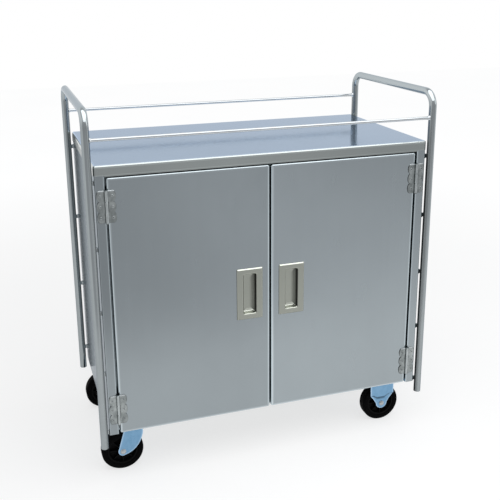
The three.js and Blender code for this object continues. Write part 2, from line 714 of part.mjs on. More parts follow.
// The fixed caster's legs are pressed in one with its plate.
function fixedLeg() {
  const leg = new THREE.Shape();
  const { half, waist, eye, eyeRise, waistRise, shoulderRise } = FIXED_LEG;
  const top = plateBottom + PAST;
  leg.moveTo(-half, top);
  leg.lineTo(half, top);
  leg.lineTo(half, WHEEL_RADIUS + shoulderRise);
  leg.lineTo(waist, WHEEL_RADIUS + waistRise);
  leg.absarc(0, WHEEL_RADIUS + eyeRise, eye, 0, -Math.PI, true);
  leg.lineTo(-waist, WHEEL_RADIUS + waistRise);
  leg.lineTo(-half, WHEEL_RADIUS + shoulderRise);
  leg.closePath();
  return leg;
}

const fixedBracket = () => cut(join(casterPlate(), ...bothLegs(fixedLeg())), axleHoles(0));

function wheel(parent, label) {
  piece(parent, `${label}_axle`, axle(), STEEL);
  piece(parent, `${label}_wheel_core`, wheelCore(), BLACK_PLASTIC);
  piece(parent, `${label}_tyre`, tyre(), RUBBER);
}

function swivelCaster(parent, label) {
  const plateHole = bar(KINGPIN_RADIUS + SEAT, 'z', plateBottom - PAST, plateTop + PAST);
  piece(parent, `${label}_plate`, cut(casterPlate(), plateHole), ZINC);
  piece(parent, `${label}_race`, ballRace(), ZINC);
  piece(parent, `${label}_kingpin`, kingpin(), STEEL);
  piece(parent, `${label}_fork`, swivelFork(), ZINC);
  wheel(group(parent, -CASTER_TRAIL, 0, WHEEL_RADIUS), label);
}

function fixedCaster(parent, label) {
  piece(parent, `${label}_bracket`, fixedBracket(), ZINC);
  wheel(group(parent, 0, 0, WHEEL_RADIUS), label);
}

// ---------------------------------------------------------------- the cart
function addCabinet(cart) {
  piece(cart, 'tabletop', tabletop(), BRIGHT_TOP);
  piece(cart, 'back_panel', backPanel(), STAINLESS);
  piece(cart, 'floor_panel', floorPanel(), STAINLESS);
  piece(cart, 'door_header', doorHeader(), STAINLESS);
  piece(cart, 'shelf', shelf(), STAINLESS);
  for (const { side, sign } of SIDES) {
    piece(cart, `${side}_side_panel`, sidePanel(sign), STAINLESS);
    piece(cart, `${side}_caster_channel`, casterChannel(sign), STEEL);
    piece(cart, `${side}_shelf_bearer`, shelfBearer(sign), STAINLESS);
    piece(cart, `${side}_door_catch`, doorCatch(sign), BLACK_PLASTIC);
    piece(group(cart, sign * postX), `${side}_end_frame`, endFrame(sign), BRIGHT_TUBE);
  }
}

function addGuardRails(cart) {
  piece(group(cart, 0, -postY, railZ), 'front_guard_rail', guardRail(), BRIGHT_TUBE);
  piece(group(cart, 0, postY, railZ), 'rear_guard_rail', guardRail(), BRIGHT_TUBE);
}

function addDoor(cart, { side, sign }) {
  piece(cart, `${side}_door_skin`, doorSkin(sign), STAINLESS);
  piece(cart, `${side}_door_liner`, doorLiner(sign), STAINLESS);
  piece(cart, `${side}_door_strike`, doorStrike(sign), STEEL);
  piece(group(cart, sign * pullX, -bodyY - SEAT, doorMiddle), `${side}_door_pull`, doorPull(), SATIN);
  const reach = HINGE_INSET + HINGE_HEIGHT / 2;
  hinge(group(cart, sign * hingeX, hingeY, doorTop - reach), `${side}_upper_hinge`, sign);
  hinge(group(cart, sign * hingeX, hingeY, doorBottom + reach), `${side}_lower_hinge`, sign);
}

function addCasters(cart) {
  for (const { end, y } of [{ end: 'front', y: -casterY }, { end: 'rear', y: casterY }]) {
    swivelCaster(group(cart, -casterX, y), `${end}_left_caster`);
    fixedCaster(group(cart, casterX, y), `${end}_right_caster`);
  }
}

const cart = new THREE.Group();
addCabinet(cart);
addGuardRails(cart);
SIDES.forEach((each) => addDoor(cart, each));
addCasters(cart);

export default cart;
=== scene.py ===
"""Looks of the enclosed meal tray cart. Lengths are millimetres until MM turns them into metres."""
import json
import math

import bmesh
import bpy
from mathutils import Matrix, Vector


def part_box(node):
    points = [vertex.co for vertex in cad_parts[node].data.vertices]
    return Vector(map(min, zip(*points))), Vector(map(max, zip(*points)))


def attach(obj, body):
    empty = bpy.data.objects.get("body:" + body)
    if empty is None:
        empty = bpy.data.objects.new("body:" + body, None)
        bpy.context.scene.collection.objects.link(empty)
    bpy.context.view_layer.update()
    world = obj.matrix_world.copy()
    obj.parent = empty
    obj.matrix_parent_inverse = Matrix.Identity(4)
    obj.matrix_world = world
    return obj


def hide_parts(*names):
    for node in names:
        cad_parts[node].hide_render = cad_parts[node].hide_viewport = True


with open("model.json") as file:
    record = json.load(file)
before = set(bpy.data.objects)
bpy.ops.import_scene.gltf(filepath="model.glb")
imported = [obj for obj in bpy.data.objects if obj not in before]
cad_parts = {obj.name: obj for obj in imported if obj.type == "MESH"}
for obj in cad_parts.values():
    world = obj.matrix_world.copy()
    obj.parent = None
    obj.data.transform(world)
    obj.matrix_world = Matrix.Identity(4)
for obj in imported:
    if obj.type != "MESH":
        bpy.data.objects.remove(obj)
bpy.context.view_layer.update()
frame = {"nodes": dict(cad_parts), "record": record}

MM = 0.001
SIDES = {"left": -1, "right": 1}  # and which way each lies along X

BODY_OF = {node: body for body, nodes in frame["record"]["behaviour"]["bodies"].items() for node in nodes}


def span(node):
    """A CAD node's lowest and highest corners, in millimetres."""
    low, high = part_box(node)
    return low / MM, high / MM


def middle(node):
    low, high = span(node)
    return (low + high) / 2


# ---------------------------------------------------------------- camera
IMAGE_SIDE = 500
SENSOR = 36.0
FOCAL_PIXELS = 778.0
CAMERA_SHIFT = -0.10
CAMERA_PLACE = (-0.718, -2.259, 1.406)  # metres
CAMERA_TURN = (18.17, 15.63, 0.40)  # degrees to the right, down and rolled


def add_camera():
    data = bpy.data.cameras.new("camera")
    data.sensor_width = SENSOR
    data.lens = FOCAL_PIXELS * SENSOR / IMAGE_SIDE
    data.shift_y = CAMERA_SHIFT
    camera = bpy.data.objects.new("camera", data)
    yaw, pitch, roll = (math.radians(angle) for angle in CAMERA_TURN)
    turn = Matrix.Rotation(-yaw, 4, "Z") @ Matrix.Rotation(math.pi / 2 - pitch, 4, "X")
    camera.matrix_world = Matrix.Translation(CAMERA_PLACE) @ turn @ Matrix.Rotation(-roll, 4, "Z")
    bpy.context.scene.collection.objects.link(camera)
    bpy.context.scene.camera = camera


# ---------------------------------------------------------------- finishes
WHITE = (1, 1, 1, 1)
METAL_SPECULAR = 0.15  # shows only where painted shade covers the metal
NOISE_RANGE = (0.3, 0.7)  # nearly all values of a noise lie in it
RUB_SHEEN_RANGE = (0.0, 1.0)  # of the marks: rubbing and painted highlight
PAINTED_SHADE_RANGE = (-1.0, 0.0)  # of the marks: painted shade


class Nodes:
    """Adds nodes to a tree. Sizes of patterns are given in millimetres."""

    def __init__(self, tree, place):
        self.tree = tree
        self.place = self.add("ShaderNodeTexCoord").outputs[place]

    def add(self, kind, inputs=None, **settings):
        node = self.tree.nodes.new(kind)
        for key, value in settings.items():
            setattr(node, key, value)
        for key, value in (inputs or {}).items():
            if isinstance(value, bpy.types.NodeSocket):
                self.tree.links.new(value, node.inputs[key])
            else:
                node.inputs[key].default_value = value
        return node

    def noise(self, size, detail=3.0, offset=(0, 0, 0), rough=0.55):
        """Noise whose features are size (three lengths) long along X, Y and Z."""
        scale = [1 / (MM * length) for length in size]
        where = self.add("ShaderNodeMapping", {"Vector": self.place, "Scale": scale, "Location": offset})
        inputs = {"Vector": where.outputs[0], "Scale": 1.0, "Detail": detail, "Roughness": rough}
        return self.add("ShaderNodeTexNoise", inputs).outputs["Fac"]

    def math(self, operation, a, b):
        return self.add("ShaderNodeMath", {0: a, 1: b}, operation=operation).outputs[0]

    def span(self, value, low, high, source=NOISE_RANGE, kind="LINEAR"):
        """Spreads the values of the source range from low to high."""
        inputs = {"Value": value, "From Min": source[0], "From Max": source[1], "To Min": low, "To Max": high}
        return self.add("ShaderNodeMapRange", inputs, interpolation_type=kind).outputs[0]

    def mix(self, factor, a, b, blend="MIX"):
        inputs = {"Factor": factor, 6: a, 7: b}
        return self.add("ShaderNodeMix", inputs, data_type="RGBA", blend_type=blend).outputs[2]

    def attribute(self, name):
        return self.add("ShaderNodeAttribute", attribute_name=name).outputs["Fac"]


class Finish(Nodes):
    """A procedural material. glancing is the tint of a metal at a flat angle."""

    def __init__(self, name, metallic=1.0, specular=0.5, glancing=WHITE):
        self.material = bpy.data.materials.new(name)
        self.material.use_nodes = True
        super().__init__(self.material.node_tree, "Object")
        self.shader = self.tree.nodes["Principled BSDF"]
        self.shader.inputs["Metallic"].default_value = metallic
        self.shader.inputs["Specular IOR Level"].default_value = specular
        self.shader.inputs["Specular Tint"].default_value = glancing

    def set(self, key, value):
        self.tree.links.new(value, self.shader.inputs[key])

    def bump(self, height, depth, strength):
        inputs = {"Height": height, "Distance": depth * MM, "Strength": strength}
        self.set("Normal", self.add("ShaderNodeBump", inputs).outputs["Normal"])


def shade(colour, factor):
    return (*[min(1.0, c * factor) for c in colour], 1.0)


def drawn_out(grain, across, along):
    """The sizes of a pattern that is drawn out along one axis."""
    return [along if axis == grain else across for axis in "xyz"]


def sheet_finish(name, colour, roughness, grain, seed=0.0, mottle=0.035, depth=0.004, glancing=WHITE):
    """Rolled sheet: fine lines along its grain, faint streaks and wiped smudges; edges lightened by rubbing
    and by a painted highlight, and painted shade in corners.
    mottle is how far the tone strays, depth the depth of the lines."""
    f = Finish(name, specular=METAL_SPECULAR, glancing=glancing)
    shift = (seed, 2 * seed, 3 * seed)
    lines = f.noise(drawn_out(grain, 0.4, 60.0), 2.0, shift, 0.6)
    streaks = f.noise(drawn_out(grain, 14.0, 700.0), 2.0, shift)
    cloud = f.noise((260, 260, 320), 3.0, shift)
    smudge = f.noise((60, 60, 90), 3.0, shift)
    wear = f.attribute("wear")
    tone = f.math("ADD", f.span(streaks, -0.15, 0.15), f.span(cloud, -0.5, 0.5))
    tone = f.span(tone, 0.0, 1.0, (-0.65, 0.65))
    plain = f.mix(tone, shade(colour, 1 - mottle), shade(colour, 1 + mottle))
    # painted highlight and rubbing: the base is lightened where the marks are positive
    rub_and_sheen = f.mix(f.span(wear, 0.0, 0.75, RUB_SHEEN_RANGE), plain, shade(colour, 1.8))
    # painted shade: the base turns near black, rougher and not metallic where the marks are negative
    painted_shade = f.span(wear, 1.0, 0.0, PAINTED_SHADE_RANGE)
    f.set("Base Color", f.mix(painted_shade, rub_and_sheen, shade(colour, 0.02)))
    f.set("Metallic", f.span(painted_shade, 1.0, 0.0, (0.0, 0.9)))
    rough = f.math("ADD", f.span(lines, -0.008, 0.008), f.span(streaks, -0.006, 0.006))
    rough = f.math("ADD", rough, f.span(smudge, 0.0, 0.03, (0.5, 0.7)))
    rough = f.math("ADD", rough, f.span(wear, roughness, roughness * 0.45, RUB_SHEEN_RANGE))
    f.set("Roughness", f.math("ADD", rough, f.span(painted_shade, 0.0, 0.5, (0.0, 1.0))))
    f.bump(lines, depth, 0.1)
    return f.material


def plated_finish(name, colour, tint, roughness):
    """Zinc plate: crystalline mottle between two tones, with brighter rims from rubbing and a painted
    highlight, and painted shade where the marks are negative.
    """
    f = Finish(name)
    cloud = f.noise((16, 16, 22), 4.0, (3, 1, 2), 0.6)
    spangle = f.noise((2.2, 2.2, 2.2), 3.0)
    wear = f.attribute("wear")
    plain = f.mix(f.span(cloud, 0.0, 1.0), shade(colour, 1.0), shade(tint, 1.0))
    # the rims are lightened by rubbing and a painted highlight; painted shade darkens where the marks are
    # negative
    rim = f.mix(0.35, shade(tint, 1.5), (0.8, 0.85, 0.9, 1.0))
    rub_and_sheen = f.mix(f.span(wear, 0.0, 0.85, RUB_SHEEN_RANGE), plain, rim)
    f.set("Base Color", f.mix(f.span(wear, 0.9, 0.0, PAINTED_SHADE_RANGE), rub_and_sheen, shade(colour, 0.1)))
    rough = f.math("ADD", f.span(spangle, -0.06, 0.06), f.span(cloud, roughness - 0.05, roughness + 0.07))
    f.set("Roughness", rough)
    f.bump(spangle, 0.05, 0.25)
    return f.material


def bright_finish(name, colour, roughness, grain="z", glancing=WHITE):
    """Polished tube and rod: fine polishing lines round it, faint scratches and fingermarks."""
    f = Finish(name, specular=METAL_SPECULAR, glancing=glancing)
    lines = f.noise(drawn_out(grain, 3.0, 0.5), 2.0, (0.3, 0.7, 0.2))
    cloud = f.noise((60, 60, 90), 3.0)
    scratch = f.noise((0.8, 9, 30), 3.0, (5, 2, 1), 0.7)
    plain = f.mix(f.span(cloud, 0.0, 1.0), shade(colour, 0.95), shade(colour, 1.05))
    wear = f.attribute("wear")
    # painted highlight and rubbing lighten it where the marks are positive; painted shade darkens it where
    # they are negative
    rub_and_sheen = f.mix(f.span(wear, 0.0, 1.0, RUB_SHEEN_RANGE), plain, shade(colour, 1.7))
    painted_shade = f.span(wear, 1.0, 0.0, PAINTED_SHADE_RANGE)
    f.set("Base Color", f.mix(painted_shade, rub_and_sheen, shade(colour, 0.04)))
    f.set("Metallic", f.span(painted_shade, 1.0, 0.0, (0.0, 0.9)))
    rough = f.math("ADD", f.span(lines, -0.015, 0.015), f.span(cloud, roughness - 0.015, roughness + 0.03))
    f.set("Roughness", f.math("ADD", rough, f.span(scratch, 0.0, 0.06, (0.62, 0.7))))
    f.bump(lines, 0.004, 0.2)
    return f.material


def black_finish(name, size, soft, hard, specular):
    """Black rubber or moulded nylon: a fine moulded grain under a thin dusty bloom."""
    f = Finish(name, 0.0, specular)
    grain = f.noise((size, size, size), 3.0)
    dust = f.noise((14, 14, 14), 4.0, (2, 5, 1), 0.65)
    black = (0.0026, 0.0026, 0.0028)
    f.set("Base Color", f.mix(f.span(dust, 0.0, 0.4, (0.5, 0.8)), shade(black, 1.0), shade(black, 3.0)))
    f.set("Roughness", f.span(dust, hard, soft))
    f.bump(grain, 0.07, 0.35)
    return f.material


STEEL_GREY = (0.345, 0.385, 0.405)
DULL = (0.62, 0.66, 0.70, 1)
SATIN, SMOOTHER = 0.24, 0.20  # roughness of the sheets


def steel(factor):
    return shade(STEEL_GREY, factor)[:3]


# painted light: a lighter copy of the steel for the back panel, liners and bearers, lifting the shade inside
# the cabinet
SHEET_LIT_INSIDE = sheet_finish("sheet_inside_lit", steel(1.1), SATIN, "z")
SHEET_FLAT = sheet_finish("sheet_lying", (0.32, 0.345, 0.34), SATIN, "x", seed=6.0)
# painted shade and light: the left door has a darker copy of the steel and the right door a lighter one
DOOR_SHEET_SHADED_AND_LIT = {
    "left": sheet_finish("sheet_left_door_shaded", steel(0.94), SATIN, "z", seed=4.0),
    "right": sheet_finish("sheet_right_door_lit", steel(1.03), SATIN, "z", seed=9.0),
}
# painted shade and light: the left end has a darker copy of the steel than the right
END_SHEET_SHADED_AND_LIT = {
    "left": sheet_finish("sheet_left_end_shaded", steel(0.82), SMOOTHER, "z", seed=2.0, glancing=DULL),
    "right": sheet_finish("sheet_right_end_lit", steel(0.95), SMOOTHER, "z", seed=5.0, glancing=DULL),
}
TOP = sheet_finish("sheet_top", (0.40, 0.465, 0.545), 0.11, "x", 1.0, 0.025, 0.002, (0.68, 0.75, 0.84, 1))
TUBE = bright_finish("bright_tube", (0.33, 0.36, 0.37), 0.10, glancing=DULL)
ROD = bright_finish("bright_rod", (0.55, 0.58, 0.60), 0.10, "x")
PULL = sheet_finish("satin_pull", (0.36, 0.375, 0.335), 0.30, "z", 3.0, 0.04, 0.006)
HINGE = plated_finish("hinge_steel", (0.17, 0.19, 0.19), (0.40, 0.43, 0.43), 0.20)
ZINC = plated_finish("zinc", (0.17, 0.33, 0.50), (0.23, 0.41, 0.60), 0.32)
BOLT = plated_finish("bolt_steel", (0.40, 0.43, 0.44), (0.50, 0.53, 0.55), 0.22)
RUBBER = black_finish("rubber", 0.9, 0.82, 0.62, 0.04)
NYLON = black_finish("black_plastic", 1.4, 0.6, 0.48, 0.06)


# ---------------------------------------------------------------- shapes
RUB_SHEEN_REACH = 2.5  # how far the lightening, rubbing and painted highlight, reaches in from a bend
BEND_STEPS, FOLD_STEPS = 6, 5
LEAST_CORNER = 0.3


class Shell:
    """One or more closed skins, made of loops.
    The marks are 1 where an edge is lightened, by rubbing and by a painted highlight, and -1 where it is
    darkened with painted shade."""

    def __init__(self):
        self.points, self.wear, self.faces = [], [], []

    def loft(self, loops, closed=False, wear=None):
        start, count, size = len(self.points), len(loops), len(loops[0])
        for number, loop in enumerate(loops):
            self.points += [Vector(p) for p in loop]
            value = wear[number] if wear else 0.0
            self.wear += value if isinstance(value, list) else [value] * size
        for i in range(count if closed else count - 1):
            a, b = start + i * size, start + (i + 1) % count * size
            for k in range(size):
                n = (k + 1) % size
                self.faces.append((a + k, a + n, b + n, b + k))
        if not closed:
            last = start + (count - 1) * size
            self.faces.append(tuple(range(start, start + size)))
            self.faces.append(tuple(range(last, last + size))[::-1])
        return self


def put(origin, u, v, w):
    """Turns lengths along three directions into a point."""
    origin, u, v, w = Vector(origin), Vector(u), Vector(v), Vector(w)
    return lambda a, b, c: origin + a * u + b * v + c * w


def put_crosswise(origin, way=1):
    """Across the cart and up, with w along Y, where the wheels' axles lie."""
    return put(origin, (way, 0, 0), (0, 0, 1), (0, 1, 0))


def put_upright(origin, way=1):
    """In plan, with w upwards."""
    return put(origin, (way, 0, 0), (0, 1, 0), (0, 0, 1))


def put_endwise(origin, way=1):
    """In the plane of the cart's ends, with w along X."""
    return put(origin, (0, 1, 0), (0, 0, 1), (way, 0, 0))


def put_facing(origin):
    """In the front's plane, with w out of the front."""
    return put(origin, (1, 0, 0), (0, 0, 1), (0, -1, 0))


def dress(node, shell, material, crease=35, upward=None):
    """Makes the piece that stands for a CAD node, on the same body.
    upward is the finish of the faces that look up, where it is another one."""
    name = f"{node}_skin"
    mesh = bpy.data.meshes.new(name)
    mesh.from_pydata([point * MM for point in shell.points], [], shell.faces)
    # marks of rubbing, painted highlight and painted shade, which the finishes read
    rub_sheen_shade_marks = mesh.attributes.new("wear", "FLOAT", "POINT")
    rub_sheen_shade_marks.data.foreach_set("value", shell.wear)
    work = bmesh.new()
    work.from_mesh(mesh)
    bmesh.ops.recalc_face_normals(work, faces=work.faces)
    work.to_mesh(mesh)
    work.free()
    mesh.shade_smooth()
    mesh.set_sharp_from_angle(angle=math.radians(crease))
    mesh.materials.append(material)
    if upward:
        mesh.materials.append(upward)
        for face in mesh.polygons:
            face.material_index = int(face.normal.z > 0.9)
    thing = bpy.data.objects.new(name, mesh)
    bpy.context.scene.collection.objects.link(thing)
    normals = thing.modifiers.new("normals", "WEIGHTED_NORMAL")
    normals.keep_sharp = True
    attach(thing, BODY_OF[node])
    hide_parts(node)


def ease(node, material, width, segments=2):
    """Keeps a CAD node and rounds its edges."""
    thing = frame["nodes"][node]
    thing.data.materials.clear()
    thing.data.materials.append(material)
    rounding = thing.modifiers.new("rounding", "BEVEL")
    rounding.width = width * MM
    rounding.segments = segments
    rounding.limit_method = "ANGLE"
    rounding.angle_limit = math.radians(40)
    rounding.harden_normals = True


def rounded(half_u, half_v, corner, steps=3):
    """A rounded rectangle about the origin, with 4 * (steps + 1) points."""
    corner = min(corner, half_u, half_v)
    centres = [(1, 1), (-1, 1), (-1, -1), (1, -1)]
    points = []
    for number, (su, sv) in enumerate(centres):
        for i in range(steps + 1):
            angle = math.pi / 2 * (number + i / steps)
            u = su * (half_u - corner) + corner * math.cos(angle)
            points.append((u, sv * (half_v - corner) + corner * math.sin(angle)))
    return points


def quarter(steps):
    """Sine and cosine from 0 to a right angle."""
    angles = [math.pi / 2 * i / steps for i in range(steps + 1)]
    return [(math.sin(a), math.cos(a)) for a in angles]


def smooth(value, low, high):
    """0 below low, 1 above high and an even slope between them."""
    t = min(1.0, max(0.0, (value - low) / (high - low)))
    return t * t * (3 - 2 * t)


def spaced(first, last, count):
    return [first + (last - first) * i / (count - 1) for i in range(count)]


def pan(where, half, depth, sheet, bend, corner, hole=None):
    """A sheet with its four edges folded back; w = 0 is its face. hole is a middle and a rounded outline.
    The bends are lightened by rubbing and by a painted highlight, and the cut edges nearly so."""

    def ring(inset, w):
        outline = rounded(half[0] - inset, half[1] - inset, max(corner - inset, LEAST_CORNER))
        return [where(u, v, w) for u, v in outline]

    def hole_ring(w):
        (u0, v0), shape = hole
        return [where(u0 + u, v0 + v, w) for u, v in rounded(*shape)]

    inner = bend - sheet
    turn = quarter(BEND_STEPS)
    loops = [ring(bend + RUB_SHEEN_REACH, 0)] + [ring(bend * (1 - s), -bend * (1 - c)) for s, c in turn]
    wear = [0.0, 0.35] + [1.0] * BEND_STEPS
    loops += [ring(0, -bend - RUB_SHEEN_REACH), ring(0, RUB_SHEEN_REACH - depth), ring(0, -depth), ring(sheet, -depth)]
    wear += [0.15, 0.15, 0.8, 0.8]
    back = [ring(sheet + inner * (1 - s), -sheet - inner * (1 - c)) for s, c in reversed(turn)]
    loops += back
    wear += [0.0] * len(back)
    if hole:
        loops = [hole_ring(0)] + loops + [hole_ring(-sheet)]
        wear = [0.0] + wear + [0.0]
    return Shell().loft(loops, bool(hole), wear)


def fold(where, path, sheet, radius, low, high):
    """A strip folded along a centre line in u and v, running from low to high along w."""
    points = [Vector(p) for p in path]
    rows, wear = [], []

    def row(at, along, rub_and_sheen):
        side = Vector((-along.y, along.x)) * (sheet / 2)
        a, b = at + side, at - side
        rows.append([where(*a, low), where(*b, low), where(*b, high), where(*a, high)])
        wear.append(rub_and_sheen)

    # the ends and bends are lightened by rubbing and by a painted highlight
    row(points[0], (points[1] - points[0]).normalized(), 0.8)
    for before, corner, after in zip(points, points[1:], points[2:]):
        d0, d1 = (corner - before).normalized(), (after - corner).normalized()
        turn = math.atan2(d0.x * d1.y - d0.y * d1.x, d0.dot(d1))
        reach = radius * math.tan(abs(turn) / 2)
        begin = corner - d0 * reach
        centre = begin + Vector((-d0.y, d0.x)) * math.copysign(radius, turn)
        row(begin - d0 * RUB_SHEEN_REACH, d0, 0.0)
        for i in range(FOLD_STEPS + 1):
            share = i / FOLD_STEPS
            spin = Matrix.Rotation(turn * share, 2)
            row(centre + spin @ (begin - centre), spin @ d0, 0.2 + 0.8 * math.sin(math.pi * share))
        row(corner + d1 * (reach + RUB_SHEEN_REACH), d1, 0.0)
    row(points[-1], (points[-1] - points[-2]).normalized(), 0.8)
    return Shell().loft(rows, False, wear)


def turns(sides):
    """The angles of a round outline's points."""
    return [2 * math.pi * k / sides for k in range(sides)]


def circle(where, radius, along, sides):
    return [where(radius * math.cos(a), radius * math.sin(a), along) for a in turns(sides)]


def lathe(where, profile, sides, closed=True, shell=None, wear=None):
    """Turns (radius, along) pairs about w; a closed profile makes a ring."""
    loops = [circle(where, radius, along, sides) for radius, along in profile]
    return (shell or Shell()).loft(loops, closed, wear)


def mirrored(half, *between):
    """A profile made of a half, given from the middle outwards, and its mirror image."""
    return [(radius, -along) for radius, along in reversed(half)] + [*between] + half


def dome(radius, base, height, steps, tip):
    """The profile of a round head, which ends in a flat spot as wide as its tip."""
    return [(radius * c, base + height * s) for s, c in quarter(steps)[:-1]] + [(tip, base + height)]


def tube(path, side, radius, bore, sides):
    """A tube along points in a plane whose normal is side."""
    points, side = [Vector(p) for p in path], Vector(side)
    rings = []
    for i, point in enumerate(points):
        before = (point - points[i - 1]).normalized() if i else None
        after = (points[i + 1] - point).normalized() if i < len(points) - 1 else None
        along = ((before or after) + (after or before)).normalized()
        rings.append((point, along.cross(side)))

    def hoop(centre, across, r):
        return [centre + r * (math.cos(t) * side + math.sin(t) * across) for t in turns(sides)]

    outside = [hoop(point, across, radius) for point, across in rings]
    inside = [hoop(point, across, bore) for point, across in reversed(rings)]
    return Shell().loft(outside + inside, True)


# ---------------------------------------------------------------- cabinet
TOP_SHEET, BODY_SHEET = 1.5, 1.2
TOP_BEND, TOP_CORNER = 6.0, 7.0
FLOOR_BEND, FLOOR_CORNER = 2.4, 2.5
PANEL_BEND, SHELF_BEND = 3.0, 1.8
STILE_EDGE = 463.7  # from the cart's middle
LIP_FRONT, LIP_EDGE = -237.7, 444.7  # of the lip that stops the door
REAR_FLANGE = 25.0
RIVET = {"count": 7, "radius": 3.4, "height": 1.1, "sunk": 0.3, "tip": 0.4}
RIVET_FROM_END, RIVET_FROM_EDGE = 30.0, 12.0  # of the flange


def dress_tabletop():
    low, high = span("tabletop")
    where = put_upright((0, 0, high.z))
    shell = pan(where, (high.x, high.y), high.z - low.z, TOP_SHEET, TOP_BEND, TOP_CORNER)
    dress("tabletop", shell, SHEET_FLAT, upward=TOP)


def dress_side_panel(side, sign):
    low, high = span(f"{side}_side_panel")
    t = BODY_SHEET / 2
    outside = max(abs(low.x), abs(high.x))
    outer, stile, lip, flange = outside - t, STILE_EDGE + t, LIP_FRONT + t, outside - REAR_FLANGE
    path = [(flange, high.y - t), (outer, high.y - t), (outer, low.y + t), (stile, low.y + t)]
    path += [(stile, lip), (LIP_EDGE, lip)]
    shell = fold(put_upright((0, 0, 0), sign), path, BODY_SHEET, PANEL_BEND - t, low.z, high.z)
    radius = RIVET["radius"]
    profile = [(radius, -RIVET["sunk"])] + dome(radius, 0, RIVET["height"], 4, RIVET["tip"])
    for z in spaced(low.z + RIVET_FROM_END, high.z - RIVET_FROM_END, RIVET["count"]):
        head = put_crosswise((sign * (flange + RIVET_FROM_EDGE), high.y, z))
        lathe(head, profile, 20, False, shell=shell)
    dress(f"{side}_side_panel", shell, END_SHEET_SHADED_AND_LIT[side])


def dress_floor_panel():
    low, high = span("floor_panel")
    where = put_upright((0, (low.y + high.y) / 2, high.z))
    half = (high.x, (high.y - low.y) / 2)
    shell = pan(where, half, high.z - low.z, BODY_SHEET, FLOOR_BEND, FLOOR_CORNER)
    dress("floor_panel", shell, SHEET_FLAT)


def dress_shelf():
    low, high = span("shelf")
    t = BODY_SHEET / 2
    front, back, top = low.y + t, high.y - t, high.z - t
    path = [(front, low.z), (front, top), (back, top), (back, low.z)]
    shell = fold(put_endwise((0, 0, 0)), path, BODY_SHEET, SHELF_BEND, low.x, high.x)
    dress("shelf", shell, SHEET_FLAT)


# ---------------------------------------------------------------- end frames and rails
POST_X = 506.5
TUBE_RADIUS, TUBE_BORE, TUBE_BEND = 11.1, 9.9, 42.0
HANDLE_STEPS = 14
SHADE_STRIP_FULL, SHADE_STRIP_GONE = 890.0, 955.0  # heights of the posts: the painted shade beside the cabinet stops between them
SPACERS = {-1: (165.0, 902.0, 5), 1: (197.0, 902.0, 4)}  # front and rear: lowest, highest, how many
SPACER_X, SPACER_Y = 491.0, 255.4
SPACER_RINGS = [  # half width, half height and how far from the cabinet
    (5.0, 7.2, 0), (4.3, 6.3, 0.7), (4, 6, 1.6), (4, 6, 7), (4.6, 6.6, 8.6), (5.4, 7.4, 10.2),
]
RAIL_RADIUS = 4.75
WELD = [(0, -7), (0.25, -4.2), (1.2, -2.2), (2.4, -0.6), (3.2, 1.6)]  # how far out and past the rail's end


def frame_path(x, reach, foot, top):
    """The middle of the bent tube, up the front post, over the handle and down the rear post."""
    path = [(x, -reach, z) for z in (foot, SHADE_STRIP_FULL, SHADE_STRIP_GONE)]
    for end in (-1, 1):
        for i in range(HANDLE_STEPS + 1):
            turn = math.pi / 2 * i / HANDLE_STEPS
            angle = math.pi - turn if end < 0 else math.pi / 2 - turn
            y = end * (reach - TUBE_BEND) + TUBE_BEND * math.cos(angle)
            path.append((x, y, top - TUBE_BEND + TUBE_BEND * math.sin(angle)))
    return path + [(x, reach, z) for z in (SHADE_STRIP_GONE, SHADE_STRIP_FULL, foot)]


def frame_wear(inward, z, top):
    """The handle's top is lightened by hands rubbing it and by a painted highlight; the posts are darkened
    with painted shade on the side that faces the cabinet, near black beside the cabinet.
    inward is 1 on the side that faces it."""
    bend = top - TUBE_BEND
    rub_sheen = 0.7 * smooth(z, bend, top)
    painted_shade = smooth(inward, 0.78, 0.96) * (1 - smooth(z, SHADE_STRIP_FULL, SHADE_STRIP_GONE))
    inner_shade = 0.35 * smooth(inward, 0.2, 0.8) * (1 - smooth(z, SHADE_STRIP_GONE, bend))
    return rub_sheen - max(painted_shade, inner_shade)


def dress_end_frame(side, sign):
    low, high = span(f"{side}_end_frame")
    x = sign * POST_X
    reach, top = high.y - TUBE_RADIUS, high.z - TUBE_RADIUS
    shell = tube(frame_path(x, reach, low.z, top), (1, 0, 0), TUBE_RADIUS, TUBE_BORE, 48)
    # painted highlight on the handle, painted shade towards the cabinet
    shell.wear = [frame_wear((x - point.x) * sign / TUBE_RADIUS, point.z, top) for point in shell.points]
    for end, heights in SPACERS.items():
        for z in spaced(*heights):
            where = put_endwise((sign * SPACER_X, end * SPACER_Y, z), sign)
            shell.loft([[where(u, v, w) for u, v in rounded(hu, hv, 1.6)] for hu, hv, w in SPACER_RINGS])
    dress(f"{side}_end_frame", shell, TUBE, 50)


def dress_guard_rail(end):
    node = f"{end}_guard_rail"
    low, high = span(node)
    where = put_endwise((0, (low.y + high.y) / 2, (low.z + high.z) / 2))
    half = [(RAIL_RADIUS + out, high.x + along) for out, along in WELD]
    dress(node, lathe(where, mirrored(half), 28, False), ROD, 60)


# ---------------------------------------------------------------- doors
DOOR_BEND, DOOR_CORNER = 6.6, 6.6
PULL_HOLE = (20.6, 62.1, 4.0)  # half width, half height and corner, like the three outlines of the pull
PLATE, CUP, MOUTH = (39.5, 78.5, 3.0), (20.2, 61.7, 5.0), (19.0, 60.5, 4.0)
PULL_BACK = -260.0  # where the plate lies on the door; the heights below start there
PLATE_FACE, CUP_BACK, CUP_EDGE, CUP_FLOOR = 2.5, -15.2, -12.0, -13.0
CHAMFER, BROW, COVE = 3.0, 4.0, (6.0, 8.0)  # the plate's edge, the mouth's edge, the corner of the floor
DRAFT = 0.4  # how far the cup's walls close in


